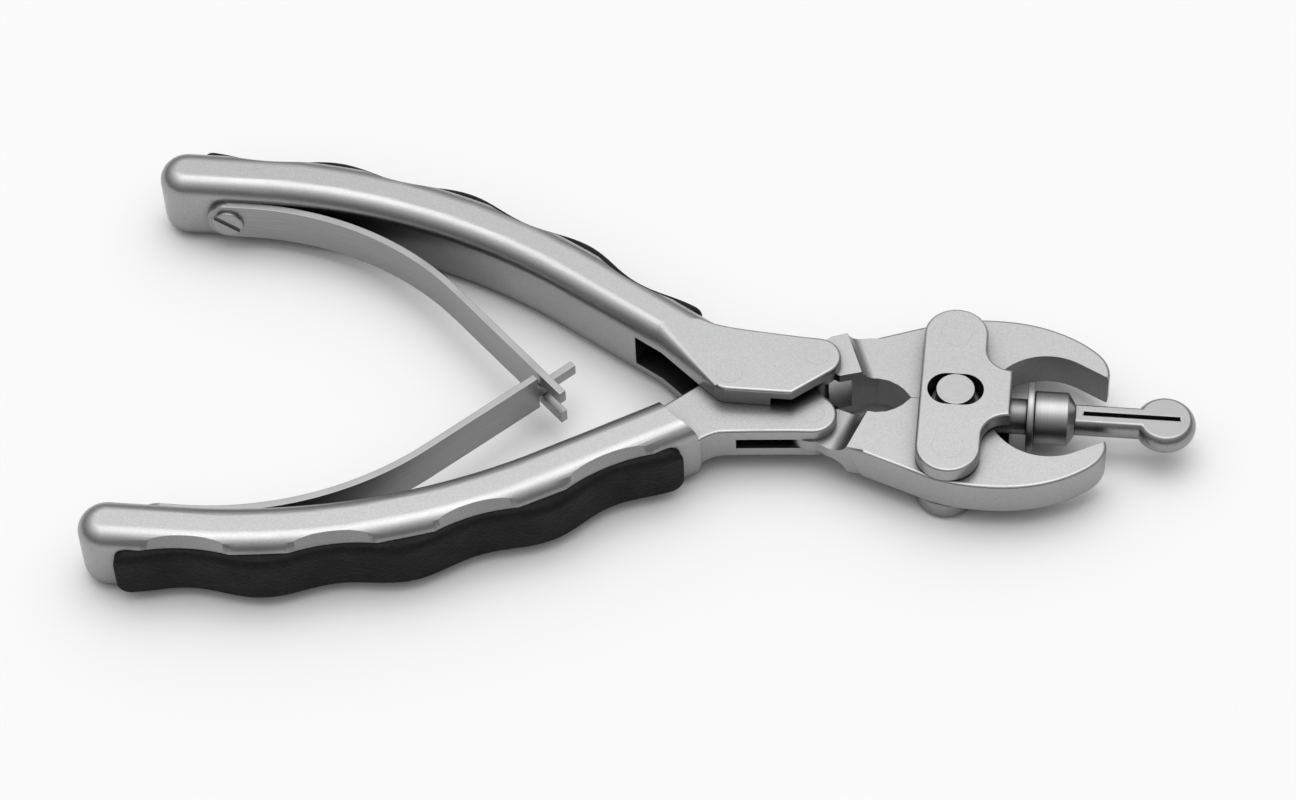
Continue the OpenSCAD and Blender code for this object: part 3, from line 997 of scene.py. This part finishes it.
@dataclass
class Grip:
    """The rubber inlay of one handle, with a wave for the fingers."""

    side: Side
    finish: Material
    path: HandlePath = field(default_factory=HandlePath)
    half_h: float = 4.3
    start: float = 3.2
    tail_gap: float = 1.8
    end_r: float = 2.2
    depth: float = 1.6
    hill: float = 1.7
    valley: float = 0.9
    scallop_depth: float = 0.9
    first_finger: float = 14.75
    pitch: float = 21.15
    edge: float = 0.35
    thick: float = 2.0
    roll: float = 1.7
    roll_share: float = 0.8

    @staticmethod
    def blank(path: HandlePath, grow: float, thick: float) -> Solid:
        """The grip laid out flat: x along the path, y out from the recess floor, z up.

        Args:
            path: the handle's path.
            grow: how much larger than the grip it is made.
            thick: its thickness.

        Returns:
            The flat block with rounded ends, cut across at close stations.
        """
        low, high = Grip.start - grow, path.length - Grip.tail_gap + grow
        half, r = Grip.half_h + grow, Grip.end_r
        plan: Plan = []
        corners = ((high - r, half - r, 0), (low + r, half - r, 90), (low + r, r - half, 180),
                   (high - r, r - half, 270))
        for cx, cz, first in corners:
            for i in range(9):
                a = math.radians(first + 90 * i / 8)
                plan.append((cx + r * math.cos(a), cz + r * math.sin(a)))
        bm = plan_slab(plan, 0, thick)
        upright = Matrix.Rotation(math.radians(90), 3, "X")
        bmesh.ops.rotate(bm, verts=bm.verts[:], cent=(0, 0, 0), matrix=upright)
        bmesh.ops.scale(bm, verts=bm.verts[:], vec=(1, -1, 1))
        for s in path.stations(low + r, high - r, 0.9):
            slice_across(bm, (s, 0, 0), (1, 0, 0))
        face_outwards(bm)
        return bm

    @staticmethod
    def wrap(bm: Solid, path: HandlePath, reach: Callable[[Vector], float]) -> None:
        """Bend a flat block round the handle.

        Args:
            bm: the flat block.
            path: the handle's path.
            reach: the distance out from the path of a place in the flat block.
        """
        for v in bm.verts:
            x, y = path.point(v.co.x, reach(v.co.copy()))
            v.co.x, v.co.y = x, y
        face_outwards(bm)

    def wave(self, s: float, low: float, high: float) -> float:
        """A value that swings along the grip.

        Args:
            s: the distance along the path.
            low: the value in the finger valleys.
            high: the value on the hills.

        Returns:
            The value there.
        """
        swing = math.cos((s - self.first_finger) / self.pitch * 2 * math.pi)
        return (high + low) / 2 - (high - low) / 2 * swing

    def reach(self, at: Vector) -> float:
        """How far out from the path a place of the flat block comes to lie.

        Args:
            at: the place: along the path, over the recess floor, and up.

        Returns:
            The distance, less towards the rolled upper edge.
        """
        floor = self.path.half_w - self.depth
        metal = self.path.half_w - self.wave(at.x, self.scallop_depth, 0)
        proud = self.wave(at.x, self.valley, self.hill)
        rise = min(max((at.z - self.half_h + self.roll) / self.roll, 0.0), 1.0)
        drop = self.roll_share * proud * (1 - math.sqrt(1 - rise * rise))
        return floor + (metal + proud - drop - floor) * at.y / self.thick

    def build(self) -> Piece:
        """Make the grip with a rolled upper edge and soft moulded edges.

        Returns:
            The finished grip.
        """
        bm = self.blank(self.path, 0.0, self.thick)
        soften(bm, self.edge, 4, lambda e: all(v.co.y > self.thick - 0.01 for v in e.verts), 40.0)
        for step in range(8):
            level = self.half_h - self.roll * (1 - math.sin(math.radians(step * 10)))
            slice_across(bm, (0, 0, level), (0, 0, 1))
        self.wrap(bm, self.path, self.reach)
        made = object_from(bm, f"{self.side.word}_grip_rubber")
        take_side(made, self.side)
        return Piece(made, f"{self.side.word}_grip", self.finish, "black_rubber")


# ---------------------------------------------------------------- leaf springs and screws


@dataclass
class LeafSpring:
    """One bent leaf, forked or with a single tongue at its tip."""

    side: Side
    finish: Material
    thick: float = 1.2
    width: float = 7.0
    y: float = 30.23
    bend_x: float = -114.0
    screw_x: float = -117.4
    bend_r: float = 50.0
    bend_deg: float = 45.0
    gap: float = 2.3
    tongue_play: float = 0.3
    past_cross: float = 4.6
    fork_more: float = 0.6
    tongue_more: float = 1.4
    cut_back: float = 5.8
    edge: float = 0.12

    def centre_line(self, reach: float) -> list[Triple]:
        """Points of the leaf's middle with the direction it runs in.

        Args:
            reach: length of the straight part.

        Returns:
            x, y and angle at each station.
        """
        back = self.screw_x - self.width / 2
        flat = [(back + (self.bend_x - back) * i / 5, self.y, 0.0) for i in range(5)]
        bend = []
        for i in range(33):
            a = math.radians(self.bend_deg) * i / 32
            bend.append((self.bend_x + self.bend_r * math.sin(a),
                         self.y - self.bend_r * (1 - math.cos(a)), a))
        x, y, a = bend[-1]
        steps = 20
        run = [(x + reach * i / steps * math.cos(a), y - reach * i / steps * math.sin(a), a)
               for i in range(1, steps + 1)]
        return flat + bend + run

    def build(self) -> Piece:
        """Make the leaf, its round screw end and its tip.

        Returns:
            The finished leaf.
        """
        a = math.radians(self.bend_deg)
        tip = (self.y - self.bend_r * (1 - math.cos(a))) / math.sin(a) + self.past_cross
        reach = tip + (self.fork_more if self.side is Side.UPPER else self.tongue_more)
        line = self.centre_line(reach)
        t = self.thick / 2
        lower = [(x - t * math.sin(d), y - t * math.cos(d)) for x, y, d in line]
        upper = [(x + t * math.sin(d), y + t * math.cos(d)) for x, y, d in reversed(line)]
        made = object_from(plan_slab(lower + upper, -self.width / 2, self.width / 2), "leaf")
        self.round_end(made)
        self.cut_tip(made, tip)
        bm = bmesh.new()
        bm.from_mesh(made.data)
        bmesh.ops.remove_doubles(bm, verts=bm.verts[:], dist=0.002)
        soften(bm, self.edge, 2, angle=50.0)
        bm.to_mesh(made.data)
        bm.free()
        made.name = f"{self.side.word}_leaf_strip"
        take_side(made, self.side)
        return Piece(made, f"{self.side.word}_leaf_spring", self.finish, "spring_steel")

    def round_end(self, made: Object) -> None:
        """Round the end at the screw.

        Args:
            made: the leaf.
        """
        r = self.width / 2
        plan = [(-r - 1, -r - 1), (0, -r - 1), (0, -r)]
        plan += [(-r * math.sin(b), -r * math.cos(b)) for b in (math.pi * i / 40 for i in range(1, 40))]
        plan += [(0, r), (0, r + 1), (-r - 1, r + 1)]
        bm = plan_slab(plan, -3, 3)
        turn = Matrix.Translation((self.screw_x, self.y, 0)) @ Matrix.Rotation(math.radians(90), 4, "X")
        bmesh.ops.transform(bm, matrix=turn, verts=bm.verts[:])
        combine(made, bm, Cut.TAKE)

    def cut_tip(self, made: Object, tip: float) -> None:
        """Cut the fork's gap, or leave the single tongue.

        Args:
            made: the leaf.
            tip: the length of the straight part up to the tip.
        """
        a = math.radians(self.bend_deg)
        drop = self.bend_r * (1 - math.cos(a))
        start = Vector((self.bend_x + self.bend_r * math.sin(a), self.y - drop, 0))
        tongue = (self.gap - self.tongue_play) / 2
        spans = ([(-self.gap / 2, self.gap / 2)] if self.side is Side.UPPER
                 else [(tongue, 5.0), (-5.0, -tongue)])
        first = tip - self.cut_back
        for low, high in spans:
            bm = plan_slab([(first, -3), (first + 30, -3), (first + 30, 3), (first, 3)], low, high)
            place = Matrix.Translation(start) @ Matrix.Rotation(-a, 4, "Z")
            bmesh.ops.transform(bm, matrix=place, verts=bm.verts[:])
            combine(made, bm, Cut.TAKE)

    def bend_with_handles(self, made: Object) -> None:
        """Bake the leaf's placement into its mesh; the leaf is left unflexed.

        Args:
            made: the finished leaf.
        """
        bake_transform(made)


@dataclass
class SpringScrew:
    """The slotted screw that holds a leaf to its handle."""

    side: Side
    finish: Material
    x: float = -117.4
    inner_y: float = 30.83
    leaf: float = 1.2
    head_r: float = 2.45
    head_h: float = 0.6
    shank_r: float = 1.2
    grip_len: float = 3.0
    slot_half: float = 0.45
    slot_deg: float = 35.0
    edge: float = 0.2

    def build(self) -> Piece:
        """Make the shank, the head and its slot.

        Returns:
            The finished screw.
        """
        seat = self.inner_y - self.leaf
        bm = round_bar(self.head_r, self.head_h, Vector((self.x, seat, 0)), Vector((0, -1, 0)))
        soften(bm, self.edge, 4, lambda e: all(v.co.y < seat - self.head_h / 2 for v in e.verts))
        made = object_from(bm, "screw")
        inside = Vector((self.x, seat - self.head_h / 2, 0))
        shank = round_bar(self.shank_r, self.leaf + self.grip_len, inside, Vector((0, 1, 0)))
        combine(made, shank, Cut.ADD)
        slot = plan_slab([(-5, -2), (5, -2), (5, 0), (-5, 0)], -self.slot_half, self.slot_half)
        place = Matrix.Translation((self.x, seat - self.head_h * 0.25, 0)) @ Matrix.Rotation(
            math.radians(self.slot_deg), 4, "Y")
        bmesh.ops.transform(slot, matrix=place, verts=slot.verts[:])
        combine(made, slot, Cut.TAKE)
        tidy_mesh(made)
        made.name = f"{self.side.word}_screw_steel"
        take_side(made, self.side)
        return Piece(made, f"{self.side.word}_spring_screw", self.finish, "pin_steel")


# ---------------------------------------------------------------- jaws, plates, pins


@dataclass
class Jaw:
    """One hooked jaw, its outer edges widely rounded."""

    side: Side
    bench: Bench
    finish: Material
    outer_edge: float = 0.5
    mouth: Place = (14.6, 0.6)
    mouth_r: float = 9.15
    half_t: float = LAYOUT.lap_z
    back_x: float = -13.0
    rim_y: float = 10.2
    rim_turn_x: float = 16.0
    rim_slope: float = 0.55
    pin_zone: float = 3.2

    def outside(self, edge: Edge) -> bool:
        """Whether an edge runs along the jaw's outer outline, ahead of its ramps.

        Args:
            edge: the edge to test.

        Returns:
            True for an outer edge.
        """
        middle = (edge.verts[0].co + edge.verts[1].co) / 2
        y = abs(middle.y)
        away = math.hypot(middle.x - self.mouth[0], y - self.mouth[1]) > self.mouth_r + 0.6
        holes = math.hypot(middle.x, y - LAYOUT.jaw_pin[1]) < self.pin_zone
        past = max(middle.x, self.rim_turn_x) - self.rim_turn_x
        rim = middle.x > self.back_x and y > self.rim_y - past * self.rim_slope
        surface = abs(abs(middle.z) - self.half_t) < 1e-2
        return is_level(edge) and surface and away and rim and not holes

    def build(self) -> Piece:
        """Copy the jaw and soften its edges.

        Returns:
            The finished piece.
        """
        bm = cad_copy(f"{self.side.word}_jaw", self.bench)
        soften(bm, self.outer_edge, 6, self.outside)
        face_outwards(bm)
        made = object_from(bm, f"{self.side.word}_jaw_steel")
        return Piece(made, f"{self.side.word}_jaw", self.finish, "satin_steel")


@dataclass
class LinkPlate:
    """One T-shaped plate with a softened outline."""

    node: str
    bench: Bench
    finish: Material
    edge: float = 0.42
    slot_x: Place = (-4.2, 5.2)
    slot_y: float = 3.2
    pin_zone: float = 2.7

    def outline(self, edge: Edge) -> bool:
        """Whether an edge is on the outline, and not on the slot or a pin hole.

        Args:
            edge: the edge to test.

        Returns:
            True for an outline edge.
        """
        middle = (edge.verts[0].co + edge.verts[1].co) / 2
        slot = abs(middle.y) < self.slot_y and self.slot_x[0] < middle.x < self.slot_x[1]
        hole = math.hypot(middle.x, abs(middle.y) - LAYOUT.jaw_pin[1]) <= self.pin_zone
        return is_level(edge) and not slot and not hole

    def build(self) -> Piece:
        """Copy the plate and soften its edges.

        Returns:
            The finished piece.
        """
        bm = cad_copy(self.node, self.bench)
        soften(bm, self.edge, 4, self.outline)
        face_outwards(bm)
        return Piece(object_from(bm, f"{self.node}_steel"), self.node, self.finish, "satin_steel")


@dataclass
class Pin:
    """An upright pin, ground flush at both ends."""

    node: str
    body: str
    centre: Place
    radius: float
    half: float
    finish: Material
    chamfer: float = 0.0

    def build(self) -> Piece:
        """Make the pin.

        Returns:
            The finished piece.
        """
        bm = round_bar(self.radius, 2 * self.half, Vector((*self.centre, -self.half)), Vector((0, 0, 1)))
        if self.chamfer:
            soften(bm, self.chamfer, 3, angle=60.0)
        return Piece(object_from(bm, f"{self.node}_steel"), self.node, self.finish, "pin_steel")


# ---------------------------------------------------------------- floating mandrel


@dataclass
class TurnedRing:
    """A turned ring on the mandrel's shank, given by its profile."""

    node: str
    finish: Material
    profile: Sequence[Place]

    def build(self) -> Piece:
        """Spin the profile once round the X axis.

        Returns:
            The finished piece.
        """
        bm = bmesh.new()
        points = [bm.verts.new((x, r, 0)) for x, r in self.profile]
        edges = [bm.edges.new((points[i], points[(i + 1) % len(points)])) for i in range(len(points))]
        bmesh.ops.spin(bm, geom=points + edges, cent=(0, 0, 0), axis=(1, 0, 0), dvec=(0, 0, 0),
                       angle=2 * math.pi, steps=ROUND, use_merge=True)
        bmesh.ops.remove_doubles(bm, verts=bm.verts[:], dist=0.001)
        face_outwards(bm)
        return Piece(object_from(bm, f"{self.node}_turned"), self.node, self.finish, "turned_steel")


@dataclass
class MandrelBar:
    """A piece of the mandrel that keeps its CAD shape, with broken edges."""

    node: str
    bench: Bench
    finish: Material
    edge: float

    def build(self) -> Piece:
        """Copy the piece and break its edges.

        Returns:
            The finished piece.
        """
        bm = cad_copy(self.node, self.bench)
        soften(bm, self.edge, 3, angle=33.0)
        face_outwards(bm)
        return Piece(object_from(bm, f"{self.node}_turned"), self.node, self.finish, "turned_steel")


# ---------------------------------------------------------------- studio


@dataclass(frozen=True)
class Studio:
    """Pale floor, soft light and the camera."""

    bench: Bench
    target: Place = (-46.6, -1.295)
    azimuth_deg: float = 8.61
    elevation_deg: float = 51.29
    roll_deg: float = -3.174
    distance_mm: float = 658.9
    lens_mm: float = 118.96

    def camera(self) -> None:
        """Create the camera."""
        a, e, r = (math.radians(d) for d in (self.azimuth_deg, self.elevation_deg, self.roll_deg))
        back = Vector((math.sin(a) * math.cos(e), -math.cos(a) * math.cos(e), math.sin(e)))
        right = Vector((math.cos(a), math.sin(a), 0))
        up = back.cross(right)
        right, up = (math.cos(r) * right + math.sin(r) * up, math.cos(r) * up - math.sin(r) * right)
        data = bpy.data.cameras.new("camera")
        data.lens = self.lens_mm
        data.sensor_width = 36.0
        data.sensor_fit = "HORIZONTAL"
        data.clip_start = 0.01
        data.clip_end = 20.0
        made = bpy.data.objects.new("camera", data)
        where = self.bench.at(*self.target) + back * self.distance_mm * MM
        turn = Matrix((right, up, back)).transposed().to_4x4()
        made.matrix_world = Matrix.Translation(where) @ turn
        bpy.context.scene.collection.objects.link(made)
        bpy.context.scene.camera = made

    def floor(self) -> None:
        """Lay the pale floor."""
        bm = bmesh.new()
        bmesh.ops.create_grid(bm, x_segments=2, y_segments=2, size=4.0)
        made = object_from(bm, "floor")
        made.location.z = -0.00005
        n = Nodes("floor")
        n.shader.inputs["Roughness"].default_value = 0.9
        n.shader.inputs["Specular IOR Level"].default_value = 0.1
        cloud = n.noise(2.0, 2.0)
        n.link(n.ramp(cloud, (0.765, 0.765, 0.765), (0.785, 0.785, 0.785)), n.shader.inputs["Base Color"])
        made.data.materials.append(n.material)

    def lamp(self, name: str, where: Sequence[float], size: Sequence[float], watts: float) -> None:
        """Hang one soft lamp that points at the tool.

        Args:
            name: its name.
            where: its place in metres.
            size: its width and height in metres.
            watts: its power.
        """
        data = bpy.data.lights.new(name, "AREA")
        data.shape = "RECTANGLE"
        data.size, data.size_y = size
        data.energy = watts
        made = bpy.data.objects.new(name, data)
        made.location = where
        made.rotation_euler = (-Vector(where)).to_track_quat("-Z", "Y").to_euler()
        bpy.context.scene.collection.objects.link(made)

    def sky(self) -> None:
        """Surround the tool with a soft box that is bright above and dimmer low down in front."""
        world = bpy.data.worlds.new("studio")
        bpy.context.scene.world = world
        world.use_nodes = True
        tree = world.node_tree
        tree.nodes.clear()
        out = tree.nodes.new("ShaderNodeOutputWorld")
        light = tree.nodes.new("ShaderNodeBackground")
        coords = tree.nodes.new("ShaderNodeTexCoord")
        dot = tree.nodes.new("ShaderNodeVectorMath")
        dot.operation = "DOT_PRODUCT"
        dot.inputs[1].default_value = (0.0, 0.15, 0.989)
        ramp = tree.nodes.new("ShaderNodeValToRGB")
        stops = ramp.color_ramp
        stops.elements[0].position = 0.0
        stops.elements[0].color = (0.05, 0.05, 0.05, 1)
        stops.elements[1].position = 1.0
        stops.elements[1].color = (0.8, 0.8, 0.8, 1)
        for place, value in ((0.3, 0.08), (0.5, 0.14), (0.7, 0.24), (0.86, 0.39), (0.94, 0.68)):
            stop = stops.elements.new(place)
            stop.color = (value, value, value, 1)
        tree.links.new(coords.outputs["Generated"], dot.inputs[0])
        tree.links.new(dot.outputs["Value"], ramp.inputs["Fac"])
        tree.links.new(ramp.outputs["Color"], light.inputs["Color"])
        light.inputs["Strength"].default_value = 3.85
        tree.links.new(light.outputs["Background"], out.inputs["Surface"])

    def build(self) -> None:
        """Set up the whole studio."""
        self.camera()
        self.floor()
        self.sky()
        self.lamp("top_lamp", (-0.05, 0.25, 0.8), (0.7, 0.5), 0.4)
        view = bpy.context.scene.view_settings
        view.view_transform = "Standard"
        view.look = "None"
        view.exposure = 0.0


# ---------------------------------------------------------------- all together


class Pliers:
    """Builds every piece of the tool in order."""

    def __init__(self) -> None:
        """Find the measuring frame and make the finishes."""
        self.bench = Bench.from_frame()
        self.satin = SatinSteel().material()
        self.turned = TurnedSteel(self.bench.at(0, 0)).material()
        self.spring = SpringSteel().material()
        self.ground = PinSteel().material()
        self.flush = FlushSteel().material()
        self.rubber = BlackRubber().material()

    def handles(self) -> None:
        """Build both handles with their grips, leaves and screws."""
        for side in Side:
            body = side.handle
            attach(Handle(side, self.satin).build().settle(self.bench, 24.0), body)
            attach(Grip(side, self.rubber).build().settle(self.bench, 40.0), body)
            leaf = LeafSpring(side, self.spring)
            leaf.bend_with_handles(leaf.build().settle(self.bench, 40.0))
            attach(SpringScrew(side, self.ground).build().settle(self.bench, 30.0), body)

    def jaws(self) -> None:
        """Build the two jaws."""
        for side in Side:
            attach(Jaw(side, self.bench, self.satin).build().settle(self.bench, 24.0), f"{side.word}_jaw")

    def links(self) -> None:
        """Build the link plates and every pin."""
        for node in ("top_link_plate", "bottom_link_plate"):
            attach(LinkPlate(node, self.bench, self.satin).build().settle(self.bench, 24.0), "link_plates")
        at = LAYOUT
        low_toggle = at.on_side(at.toggle, Side.LOWER)
        low_jaw_pin = at.on_side(at.jaw_pin, Side.LOWER)
        pins = [
            Pin("main_pivot_pin", "upper_handle", at.pivot, at.pivot_r, at.handle_z, self.flush),
            Pin("upper_toggle_pin", "upper_handle", at.toggle, at.toggle_r, at.handle_z, self.flush),
            Pin("lower_toggle_pin", "lower_handle", low_toggle, at.toggle_r, at.lap_z, self.flush),
            Pin("upper_jaw_pin", "link_plates", at.jaw_pin, at.jaw_pin_r, at.plate_top_z, self.flush),
            Pin("lower_jaw_pin", "link_plates", low_jaw_pin, at.jaw_pin_r, at.plate_top_z, self.flush),
            Pin("centre_pin", "mandrel", at.centre, at.centre_r, at.plate_top_z, self.ground, 0.12),
        ]
        for pin in pins:
            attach(pin.build().settle(self.bench, 30.0), pin.body)

    def mandrel(self) -> None:
        """Build the holder, flange, collar and split mandrel."""
        flange = [(11.5, 1.65), (11.5, 5.4), (11.56, 5.54), (11.7, 5.6), (12.4, 5.6), (12.54, 5.54),
                  (12.6, 5.4), (12.6, 1.65)]
        collar = [(12.6, 1.65), (12.6, 3.95), (12.75, 4.1), (17.55, 4.1), (17.72, 4.03), (18.72, 2.6),
                  (18.8, 2.45), (18.8, 1.65)]
        parts = [
            MandrelBar("mandrel_holder", self.bench, self.turned, 0.18),
            TurnedRing("stop_flange", self.turned, flange),
            TurnedRing("mandrel_collar", self.turned, collar),
            MandrelBar("mandrel", self.bench, self.turned, 0.16),
        ]
        for part in parts:
            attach(part.build().settle(self.bench, 26.0), "mandrel")

    def build(self) -> None:
        """Build everything."""
        self.handles()
        self.jaws()
        self.links()
        self.mandrel()


def main() -> None:
    """Load the frame, build the tool and the studio."""
    logging.basicConfig(level=logging.INFO, format="%(name)s: %(message)s")
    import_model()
    Pliers().build()
    bench = Bench.from_frame()
    Studio(bench).build()


if __name__ == "__main__":
    main()
